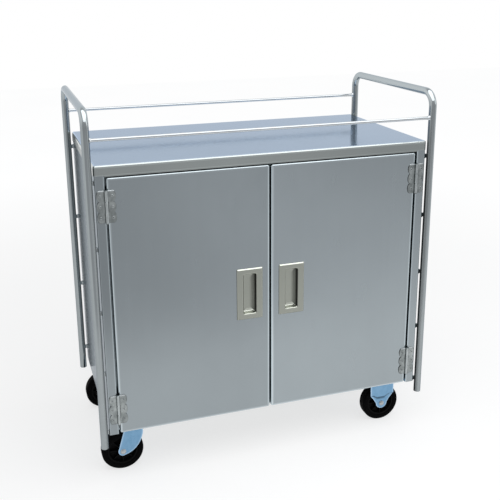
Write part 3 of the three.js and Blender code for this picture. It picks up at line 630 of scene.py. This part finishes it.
def dress_door(side):
    node = f"{side}_door_skin"
    low, high = span(node)
    centre = (low + high) / 2
    pull = middle(f"{side}_door_pull")
    hole = ((pull.x - centre.x, pull.z - centre.z), PULL_HOLE)
    half = ((high.x - low.x) / 2, (high.z - low.z) / 2)
    where = put_facing((centre.x, low.y, centre.z))
    shell = pan(where, half, high.y - low.y, BODY_SHEET, DOOR_BEND, DOOR_CORNER, hole)
    dress(node, shell, DOOR_SHEET_SHADED_AND_LIT[side])


def dress_pull(side):
    node = f"{side}_door_pull"
    centre = middle(node)
    where = put_facing((centre.x, PULL_BACK, centre.z))
    loops, wear = [], []

    def side_of(u, v, straight):
        if abs(u) - straight[0] > abs(v) - straight[1]:
            return "left" if u < 0 else "right"
        return "top" if v > 0 else "bottom"

    def ring(outline, inset, w, **rub_sheen_shade_marks):
        """The keywords give the marks along the top, bottom, left or right; elsewhere there are none.
        Positive marks are rubbing and painted highlight, negative ones painted shade.
        """
        half_u, half_v, corner = outline[0] - inset, outline[1] - inset, max(outline[2] - inset, 0.5)
        points = rounded(half_u, half_v, corner, 5)
        straight = (half_u - corner, half_v - corner)
        loops.append([where(u, v, w) for u, v in points])
        wear.append([rub_sheen_shade_marks.get(side_of(u, v, straight), 0.0) for u, v in points])

    ring(CUP, 3, CUP_BACK)
    ring(CUP, 0, CUP_EDGE)
    ring(CUP, 0, 0)
    # painted shade: a dark line round the plate's foot, darkest on the left
    ring(PLATE, 0, 0, top=-0.9, bottom=-0.9, left=-1.0, right=-0.5)
    # painted highlight, with rubbing, along the plate's top edge; painted shade along its left
    ring(PLATE, 0, 0.3, top=0.8, bottom=-0.4, left=-0.9)
    ring(PLATE, CHAMFER * 0.1, 0.5, top=1.0, left=-0.4)
    ring(PLATE, CHAMFER, PLATE_FACE - 0.1, top=1.0, left=0.2)
    ring(PLATE, CHAMFER + 0.5, PLATE_FACE, top=0.3)
    ring(PLATE, CHAMFER + 1.5, PLATE_FACE)
    # in the cup: painted highlight on the lower brow and cove, painted shade on the walls and towards the
    # right of the floor
    ring(MOUTH, -BROW - 1.5, PLATE_FACE)
    ring(MOUTH, -BROW, PLATE_FACE, bottom=0.4, right=0.2)
    for s, c in quarter(6)[1:]:
        w = PLATE_FACE - BROW * (1 - c)
        ring(MOUTH, BROW * (s - 1), w, bottom=1.0, right=-smooth(s, 0.55, 0.95))
    ring(MOUTH, DRAFT, COVE[1] + CUP_FLOOR, top=-0.6, left=-1.0, right=-1.0)
    for s, c in quarter(8)[1:]:
        inset, w = DRAFT + COVE[0] * (1 - c), CUP_FLOOR + COVE[1] * (1 - s)
        ring(MOUTH, inset, w, top=0.4 * s - 0.4, bottom=s * s, left=s - 1, right=0.55 * s - 0.9)
    ring(MOUTH, 12, CUP_FLOOR, right=-0.15)
    ring(MOUTH, 17, CUP_FLOOR)
    dress(node, Shell().loft(loops, False, wear), PULL, 50)


# ---------------------------------------------------------------- hinges
LEAF = {"height": 90.0, "reach": 26.0, "waist": 19.5, "inner": 5.1, "front": 2.5, "back": 4.5, "lobes": 3}
LEAF_RIM = [(0, 2.0, -1.0), (0, 0.9, -1.0), (0.3, 0.3, -0.5), (1, 0, 0), (1.5, 0, 0)]  # inset, drop and mark, which is painted shade along the leaf's edge
SHEEN_END = 3.0  # how much of the leaf's top is lightened as a painted highlight
KNUCKLE = {"radius": 4.5, "bore": 2.9, "edge": 0.5, "third": 15.0, "gap": 0.3}
SCREW = {"from_pin": 16.5, "pitch": 30, "radius": 3.4, "height": 1.0, "sunk": 0.5, "recess": -0.2}
# painted shade at the screw head's foot and in its cross, painted highlight on its shoulder
SCREW_SHEEN_AND_SHADE = [-0.9, -0.7, 0.9, 0.3, -1.0, -1.0]
HINGE_PIN = {"radius": 2.6, "head": 4.5}


def leaf_outline(inset):
    """A leaf's outline, with its top and bottom sloped more than its lobes."""
    steps = 12
    swell, end = LEAF["reach"] - LEAF["waist"], LEAF["height"] / 2 - 2.5 * inset
    points = [(LEAF["inner"], -end)]
    for i in range(LEAF["lobes"] * steps + 1):
        size = abs(math.sin(math.pi * i / steps)) ** 0.55
        z = end * (2 * i / (LEAF["lobes"] * steps) - 1)
        points.append((LEAF["waist"] + swell * size - inset, z))
    return points + [(LEAF["inner"], end)]


def add_screw(shell, where):
    """A pan head with a cross recess; w points out of the head."""
    radius, height = SCREW["radius"], SCREW["height"]
    rings = [(1, -SCREW["sunk"]), (1, 0.35 * height), (0.86, 0.8 * height), (0.66, height)]
    loops = [circle(where, radius * share, w, 24) for share, w in rings]
    arm, slim = 0.56 * radius, 0.24 * radius
    cross = []
    for quarter_turn in range(4):
        spin = Matrix.Rotation(math.pi / 2 * quarter_turn, 2)
        corner = [(arm, 0), (arm, slim), ((arm + slim) / 2, slim), (slim, slim)]
        corner += [(slim, (arm + slim) / 2), (slim, arm)]
        cross += [spin @ Vector(p) for p in corner]
    for w in (height, SCREW["recess"]):
        loops.append([where(u, v, w) for u, v in cross])
    shell.loft(loops, False, SCREW_SHEEN_AND_SHADE)


def add_knuckle(shell, where, low, high):
    outer, bore, edge = KNUCKLE["radius"], KNUCKLE["bore"], KNUCKLE["edge"]
    profile = [(bore, low), (outer - edge, low), (outer, low + edge)]
    profile += [(outer, high - edge), (outer - edge, high), (bore, high)]
    # the knuckle's rims are lightened by rubbing and by a painted highlight
    lathe(where, profile, 28, shell=shell, wear=[0, 0.7, 0.4, 0.4, 0.7, 0])


def dress_leaf(node, axis, sign, spans):
    """sign points from the pin to the leaf; axis is the pin's middle; spans are its knuckles."""
    where, upright = put_crosswise(axis, sign), put_upright(axis, sign)
    front, back = LEAF["front"], LEAF["back"]
    sheen_from = LEAF["height"] / 2 - SHEEN_END
    loops, wear = [], []
    # painted highlight on the leaf's top, painted shade along its edge
    for inset, drop, painted_dark in LEAF_RIM:
        outline = leaf_outline(inset)
        loops.append([where(u, v, front + drop) for u, v in outline])
        wear.append([1.0 if v > sheen_from else painted_dark for _, v in outline])
    shell = Shell().loft(loops, False, wear)
    tab = [(1.5, back), (6, back), (6, front), (3.0, front)]  # joins a knuckle to the leaf
    for low, high in spans:
        add_knuckle(shell, upright, low, high)
        shell.loft([[where(u, v, w) for u, w in tab] for v in (low, high)])
    for v in (-SCREW["pitch"], 0, SCREW["pitch"]):
        add_screw(shell, put_facing(where(SCREW["from_pin"], v, front)))
    dress(node, shell, HINGE, 40)


def dress_hinge(label, sign):
    axis = middle(f"{label}_pin")
    outer, inner, gap = LEAF["height"] / 2, KNUCKLE["third"], KNUCKLE["gap"]
    dress_leaf(f"{label}_frame_leaf", axis, sign, [(-outer, -inner), (inner, outer)])
    dress_leaf(f"{label}_door_leaf", axis, -sign, [(gap - inner, inner - gap)])
    tip, radius, head = outer + gap, HINGE_PIN["radius"], HINGE_PIN["head"]
    half = [(radius, tip), (head, tip), (head, tip + 0.6), (head * 0.75, tip + 1.4), (0.5, tip + 1.7)]
    shell = lathe(put_upright(axis), mirrored(half, (radius, 0)), 24, False)
    dress(f"{label}_pin", shell, HINGE, 40)


# ---------------------------------------------------------------- casters
WHEEL = {"radius": 62.5, "half": 17.0, "bore": 46.0, "shoulder": 6.5, "hub": 15.0}
RIB = {"count": 8, "half": 1.4}
AXLE = {"radius": 5.0, "half": 23.4, "head": 6.9, "head_base": 24.6, "head_height": 3.2}
WASHER = [(5.5, 23.0), (8.1, 23.0), (8.5, 23.3), (8.5, 24.0), (8.1, 24.3), (5.5, 24.3)]
FORK = {"inside": 19.5, "sheet": 3.2, "crown_low": 139.7, "crown_high": 142.9}
SWIVEL_LEG = {"rear": 33, "front": 21, "shoulder": 24, "eye": 14.5, "bulge": (10, -0.5), "trail": 41}
BOSS = {"out": 0.7, "flat": 9.5, "foot": 11.5}  # round the swivel fork's axle
FIXED_LEG = {"half": 41, "waist": 27, "eye": 19.5, "eye_rise": 1.5, "waist_rise": 14, "shoulder_rise": 32}
LIP = {"middle": -4.0, "half": 27.0, "rise": 23.5, "curl": 8.0, "out": 3.4}  # of the fixed leg's upper part
MOUNT = {"half": (52.5, 46.0), "corner": 8.0, "sheet": 3.2, "edge": 0.8, "bolts": (40, 33)}
BOLT_WASHER = [(8.0, -0.2), (8.0, 0.9), (7.4, 1.2), (4, 1.2)]
BOLT_HEAD = [(6.5, 1.0), (6.5, 4.4), (5.7, 5.0), (1, 5.0)]


def dress_tyre(label, where):
    radius, half, bore, shoulder = (WHEEL[key] for key in ("radius", "half", "bore", "shoulder"))
    flat = radius - shoulder
    side = [(bore, half - 2), (bore + 2.5, half - 1.2), (bore + 3.5, half - 0.3), (flat - 1, half)]
    side += [(flat + shoulder * s, half - shoulder * (1 - c)) for s, c in quarter(7)]
    dress(f"{label}_tyre", lathe(where, mirrored(side[::-1], (radius, 0)), 96), RUBBER)


def dress_wheel_core(label, where):
    rim, hub = WHEEL["bore"] - 0.3, WHEEL["hub"]
    core = [(5.3, 17.6), (7.6, 17.6), (8.4, 18.5), (hub - 0.9, 18.5), (hub, 17.6), (hub + 1.5, 9)]
    core += [(hub + 5, 4.2), (rim - 8, 5), (rim - 6, 13.8), (rim - 4.8, 15), (rim - 1.2, 15), (rim, 14.2)]
    shell = lathe(where, mirrored(core), 64)
    rib = [(hub - 1, 3), (rim - 6, 3), (rim - 6, 12), (hub + 3, 14.5), (hub - 1, 14.5)]
    for turn in turns(RIB["count"]):
        spin = Matrix.Rotation(turn, 2)
        for way in (-1, 1):
            faces = []
            for width in (-RIB["half"], RIB["half"]):
                faces.append([where(*(spin @ Vector((r, width))), way * w) for r, w in rib])
            shell.loft(faces)
    dress(f"{label}_wheel_core", shell, NYLON)


def dress_wheel(label):
    where = put_crosswise(middle(f"{label}_tyre"))
    dress_tyre(label, where)
    dress_wheel_core(label, where)


def dress_axle(label):
    node = f"{label}_axle"
    where = put_crosswise(middle(node))
    radius, half, base = AXLE["radius"], AXLE["half"], AXLE["head_base"]
    shell = lathe(where, [(radius, -half), (radius, half)], 24, False)
    head = [(AXLE["head"], base - 0.5)] + dome(AXLE["head"], base, AXLE["head_height"], 7, 0.6)
    for way in (-1, 1):
        lathe(where, [(r, way * w) for r, w in WASHER], 36, shell=shell)
        # painted shade: a dark ring at the foot of each head
        painted_dark = [-0.8] + [0.0] * (len(head) - 1)
        lathe(where, [(r, way * w) for r, w in head], 36, False, shell=shell, wear=painted_dark)
    dress(node, shell, BOLT, 40)


def bezier(a, b, c, steps):
    """Points of a curve that bends towards b, without its first one."""
    spots = [i / steps for i in range(1, steps + 1)]
    return [(1 - t) ** 2 * Vector(a) + 2 * t * (1 - t) * Vector(b) + t * t * Vector(c) for t in spots]


def arc(centre, radius, start, end, steps):
    """Points of an arc, without its first one."""
    angles = [start + (end - start) * i / steps for i in range(1, steps + 1)]
    return [Vector((centre[0] + radius * math.cos(a), centre[1] + radius * math.sin(a))) for a in angles]


def swivel_outline():
    """The swivel leg from the side, about the kingpin's axis. The axle trails towards negative x."""
    leg, top = SWIVEL_LEG, FORK["crown_low"] + 1
    axle = (-leg["trail"], WHEEL["radius"])
    start, end = -math.pi / 3, -1.08 * math.pi
    meet = (axle[0] + leg["eye"] * math.cos(start), axle[1] + leg["eye"] * math.sin(start))
    knee = (leg["front"], FORK["crown_low"] - leg["shoulder"])
    bulge = (leg["bulge"][0], axle[1] + leg["bulge"][1])
    points = [Vector((-leg["rear"], top)), Vector((leg["front"], top)), Vector(knee)]
    return points + bezier(knee, bulge, meet, 14) + arc(axle, leg["eye"], start, end, 16)


def fixed_outline(top):
    """The fixed leg from the side, about the axle's axis."""
    leg, z = FIXED_LEG, WHEEL["radius"]
    eye, shoulder, waist = z + leg["eye_rise"], z + leg["shoulder_rise"], z + leg["waist_rise"]
    right = [(leg["half"], top), (leg["half"], shoulder), (leg["waist"], waist), (leg["eye"], eye)]
    points = [Vector((-leg["half"], top))] + [Vector(p) for p in right]
    points += arc((0, eye), leg["eye"], 0, -math.pi, 20)
    return points + [Vector((-leg["waist"], waist)), Vector((-leg["half"], shoulder))]


def crossing(outline, z):
    """The least and greatest x of an outline at a height."""
    found = []
    for a, b in zip(outline, outline[1:] + outline[:1]):
        if (a.y - z) * (b.y - z) <= 0 and a.y != b.y:
            found.append(a.x + (b.x - a.x) * (z - a.y) / (b.y - a.y))
    return min(found), max(found)


def to_edge(spot, outline):
    """How far a spot is from the outline, whose first side is the one that meets the crown."""
    nearest = 1000.0
    for a, b in zip(outline[1:], outline[2:] + outline[:1]):
        along = b - a
        share = min(1.0, max(0.0, (spot - a).dot(along) / along.length_squared))
        nearest = min(nearest, (spot - a - share * along).length)
    return nearest


def add_leg(shell, where, outline, relief, way):
    """A leg pressed from sheet: rows across its outline, pushed out by relief, with a rounded rim lightened
    by rubbing and by a painted highlight.
    relief gives how far a spot stands out and how much painted shade it has."""
    low, high = min(p.y for p in outline), max(p.y for p in outline)
    rows, columns, rim, rub_sheen = 72, 20, 1.5, 4.6
    inside, sheet = FORK["inside"], FORK["sheet"]
    loops, wear = [], []
    for i in range(rows + 1):
        z = low + 0.03 + (high - low - 0.06) * (i / rows) ** 1.5
        left, right = crossing(outline, z)
        shares = [0.5 - 0.5 * math.cos(math.pi * k / columns) for k in range(columns + 1)]
        spots = [Vector((left + (right - left) * share, z)) for share in shares]
        front, back, rub_and_sheen = [], [], []
        for spot in spots:
            gap = to_edge(spot, outline)
            out, painted_shade = relief(*spot)
            drop = rim - math.sqrt(max(0.0, rim ** 2 - (rim - min(gap, rim)) ** 2))
            front.append(where(*spot, way * (inside + out + sheet - drop)))
            back.append(where(*spot, way * (inside + out)))
            # lightened near the rim by rubbing and a painted highlight, darkened with the relief's painted
            # shade
            rub_and_sheen.append((1 - smooth(gap, 0.6, rub_sheen)) * (1 - painted_shade) - painted_shade)
        loops.append(front + back[::-1])
        wear.append(rub_and_sheen + [0.0] * (columns + 1))
    shell.loft(loops, False, wear)


def swivel_relief(x, z):
    """A low boss round the axle."""
    axle = Vector((-SWIVEL_LEG["trail"], WHEEL["radius"]))
    away = (Vector((x, z)) - axle).length
    return BOSS["out"] * (1 - smooth(away, BOSS["flat"], BOSS["foot"])), 0.0


def fixed_relief(x, z):
    """The upper part stands out over the lower one. Painted shade lies in a thin band under its curved lip,
    and in a broader one under the lip's middle."""
    aside = abs(x - LIP["middle"]) / LIP["half"]
    edge = WHEEL["radius"] + LIP["rise"] + LIP["curl"] * smooth(aside, 0.45, 1.15)
    line = smooth(z, edge - 4.5, edge - 0.5) * (1 - smooth(aside, 0.95, 1.3))
    shade_band = 0.8 * smooth(z, edge - 10.0, edge - 3.0) * (1 - smooth(aside, 0.4, 0.8))
    painted_shade = 0.9 * max(line, shade_band) * (1 - smooth(z, edge + 1.5, edge + 3.2))
    return LIP["out"] * smooth(z, edge - 0.5, edge + 3.0), painted_shade


def add_mount(shell, at, top):
    """The plate under a channel, with its four bolts; top is its upper face."""
    sheet, edge, (half_x, half_y) = MOUNT["sheet"], MOUNT["edge"], MOUNT["half"]
    bottom = top - sheet
    where = put_upright((at.x, at.y, bottom))
    rings = [(edge, 0, 0.6), (0, edge, 1), (0, sheet - edge, 1), (edge, sheet, 0.6)]  # inset, height and mark: the rims are lightened by rubbing and by a painted highlight
    loops = []
    for inset, w, _ in rings:
        loops.append([where(u, v, w) for u, v in rounded(half_x - inset, half_y - inset, MOUNT["corner"], 5)])
    shell.loft(loops, False, [wear for *_, wear in rings])
    bolt_x, bolt_y = MOUNT["bolts"]
    for x in (-bolt_x, bolt_x):
        for y in (-bolt_y, bolt_y):
            bolt = put((at.x + x, at.y + y, bottom), (1, 0, 0), (0, 1, 0), (0, 0, -1))
            lathe(bolt, BOLT_WASHER, 28, False, shell=shell)
            # painted highlight, with rubbing, on the bolt heads' edges
            lathe(bolt, BOLT_HEAD, 6, False, shell=shell, wear=[0, 0.6, 1, 0.3])


def dress_swivel_caster(label):
    pin = middle(f"{label}_race")
    foot = (pin.x, pin.y, 0)
    where, upright = put_crosswise(foot), put_upright(foot)
    low, high = span(f"{label}_plate")
    shell = Shell()
    add_mount(shell, pin, high.z)
    dress(f"{label}_plate", shell, ZINC, 40)
    bottom, top = FORK["crown_low"], FORK["crown_high"]
    crown = [(6.4, bottom), (31, bottom), (33.4, bottom + 0.6), (34, bottom + 1.6)]
    crown += [(33.2, top - 0.4), (31, top), (6.4, top)]
    # the crown's rim is lightened by rubbing and by a painted highlight
    shell = lathe(upright, crown, 64, wear=[0, 0.3, 1, 1, 1, 0.3, 0])
    for way in (-1, 1):
        add_leg(shell, where, swivel_outline(), swivel_relief, way)
    dress(f"{label}_fork", shell, ZINC, 40)
    low, high = span(f"{label}_race")
    race = [(15, low.z), (29, low.z), (32, low.z + 1), (33, low.z + 3)]
    race += [(33, high.z - 2.5), (31.5, high.z), (15, high.z)]
    dress(f"{label}_race", lathe(upright, race, 64), ZINC, 30)
    low, high = span(f"{label}_kingpin")
    head = low.z + 5.5
    kingpin = [(1, low.z), (8.6, low.z), (9.8, low.z + 1), (10, head - 0.4)]
    kingpin += [(9.6, head), (6, head), (6, high.z)]
    dress(f"{label}_kingpin", lathe(upright, kingpin, 32, False), BOLT)


def dress_fixed_caster(label):
    axle = middle(f"{label}_tyre")
    low, high = span(f"{label}_bracket")
    shell = Shell()
    add_mount(shell, axle, high.z)
    outline = fixed_outline(high.z - MOUNT["sheet"] + 1)
    for way in (-1, 1):
        add_leg(shell, put_crosswise((axle.x, axle.y, 0)), outline, fixed_relief, way)
    dress(f"{label}_bracket", shell, ZINC, 40)


# ---------------------------------------------------------------- studio, in metres
DIM = (0.575, 0.58, 0.59, 1)  # of the paper, where it is a painted shade for the lamps' falloff, and of the backdrop in front of the object
OVERHEAD = (0.45, 0.46, 0.48, 1)
FLOOR_REACH = 9.0
FLOOR_DROP = 1.4  # of the floor's painted shade, see in_front
PAINTED_POOL_X = 1.0  # the middle of a painted pool of light in the floor's painted shade


def grey(level):
    return (level, level, level, 1)


def in_sight(nodes):
    """1 where the camera looks, and where gloss and glass show the same background."""
    path = nodes.add("ShaderNodeLightPath").outputs
    indirect = nodes.math("MAXIMUM", path["Is Glossy Ray"], path["Is Transmission Ray"])
    return nodes.math("MAXIMUM", path["Is Camera Ray"], indirect)


def in_front(nodes, drop=0.0):
    """1 in front of the object, 0 beside and behind it. A drop makes it fade near the object."""
    inputs = {0: nodes.place, 1: (0.7, 1, 1), 2: (0, 0, -drop)}
    seen = nodes.add("ShaderNodeVectorMath", inputs, operation="MULTIPLY_ADD").outputs["Vector"]
    way = nodes.add("ShaderNodeVectorMath", {0: seen}, operation="NORMALIZE").outputs["Vector"]
    ahead = nodes.add("ShaderNodeSeparateXYZ", {"Vector": way}).outputs["Y"]
    return nodes.span(ahead, 1.0, 0.0, (-0.78, -0.52), "SMOOTHSTEP")


def add_floor():
    """White paper with a painted shade in front of the object, for what the object mirrors, standing for the
    lamps' falloff, and a painted pool of light in that shade. It keeps a soft shadow.
    """
    mesh = bpy.data.meshes.new("floor")
    corners = [(x * FLOOR_REACH, y * FLOOR_REACH, 0) for x, y in ((-1, -1), (1, -1), (1, 1), (-1, 1))]
    mesh.from_pydata(corners, [], [(0, 1, 2, 3)])
    floor = bpy.data.objects.new("floor", mesh)
    bpy.context.scene.collection.objects.link(floor)
    paper = Finish("pale_floor", 0.0, 0.0)
    seen = in_sight(paper)
    distance = paper.add("ShaderNodeVectorMath", {0: paper.place}, operation="LENGTH").outputs["Value"]
    parts = paper.add("ShaderNodeSeparateXYZ", {"Vector": paper.place}).outputs
    # a painted pool of light to the front right of the object, fading far away
    away = paper.math("ABSOLUTE", paper.math("SUBTRACT", parts["X"], PAINTED_POOL_X), 0.0)
    painted_pool = paper.span(away, 1.0, 0.0, (0.2, 1.4), "SMOOTHSTEP")
    painted_pool = paper.math("MULTIPLY", painted_pool, paper.span(distance, 1.0, 0.0, (4.0, 8.0), "SMOOTHSTEP"))
    painted_falloff = paper.mix(painted_pool, DIM, shade(DIM[:3], 1.25))
    cloud = paper.noise((900, 900, 900), 2.0)
    tone = paper.mix(in_front(paper, FLOOR_DROP), paper.mix(cloud, (0.975, 0.98, 0.985, 1), WHITE), painted_falloff)
    paper.set("Base Color", paper.mix(1.0, paper.mix(seen, grey(0.88), grey(0.42)), tone, "MULTIPLY"))
    paper.set("Emission Color", tone)
    glow = paper.span(distance, 0.70, 0.86, (0.8, 4.0), "SMOOTHSTEP")
    paper.set("Emission Strength", paper.math("MULTIPLY", seen, glow))
    paper.shader.inputs["Roughness"].default_value = 0.9
    mesh.materials.append(paper.material)


def add_lamp(name, location, target, width, height, watts):
    """A rectangular lamp that shines from its location at its target."""
    data = bpy.data.lights.new(name, "AREA")
    data.shape, data.size, data.size_y, data.energy = "RECTANGLE", width, height, watts
    lamp = bpy.data.objects.new(name, data)
    lamp.location = location
    aim = Vector(target) - Vector(location)
    lamp.rotation_euler = aim.to_track_quat("-Z", "Y").to_euler()
    bpy.context.scene.collection.objects.link(lamp)


def add_world():
    """White, dimmer in front and overhead, for the camera and for gloss; a plain level for the light."""
    world = bpy.data.worlds.new("studio")
    bpy.context.scene.world = world
    world.use_nodes = True
    room = Nodes(world.node_tree, "Generated")
    height = room.add("ShaderNodeSeparateXYZ", {"Vector": room.place}).outputs["Z"]
    overhead = room.span(height, 0.0, 1.0, (0.45, 1.0), "SMOOTHSTEP")
    backdrop = room.mix(overhead, room.mix(in_front(room), WHITE, DIM), OVERHEAD)
    colour = room.mix(in_sight(room), grey(0.32), backdrop)
    world.node_tree.links.new(colour, world.node_tree.nodes["Background"].inputs["Color"])


def add_studio():
    bpy.context.scene.view_settings.view_transform = "Standard"
    add_floor()
    add_world()
    add_lamp("overhead", (0.25, -1.2, 2.7), (0.25, -1.2, 0.0), 3.0, 3.2, 50.0)
    add_lamp("right_fill", (2.3, -1.5, 1.9), (0.0, 0.0, 0.6), 0.9, 1.2, 4.0)


# ---------------------------------------------------------------- the cart
def dress_cart():
    dress_tabletop()
    dress_floor_panel()
    dress_shelf()
    ease("back_panel", SHEET_LIT_INSIDE, 0.3)
    ease("door_header", SHEET_FLAT, 0.4)
    for side, sign in SIDES.items():
        dress_side_panel(side, sign)
        dress_end_frame(side, sign)
        ease(f"{side}_caster_channel", BOLT, 0.8)
        ease(f"{side}_shelf_bearer", SHEET_LIT_INSIDE, 0.6)
        ease(f"{side}_door_catch", NYLON, 1.2, 3)
        ease(f"{side}_door_strike", BOLT, 0.4)
        ease(f"{side}_door_liner", SHEET_LIT_INSIDE, 0.4)
        dress_door(side)
        dress_pull(side)
        for level in ("upper", "lower"):
            dress_hinge(f"{side}_{level}_hinge", sign)
    for end in ("front", "rear"):
        dress_guard_rail(end)
        dress_swivel_caster(f"{end}_left_caster")
        dress_fixed_caster(f"{end}_right_caster")
        for side in SIDES:
            dress_wheel(f"{end}_{side}_caster")
            dress_axle(f"{end}_{side}_caster")


add_camera()
dress_cart()
add_studio()
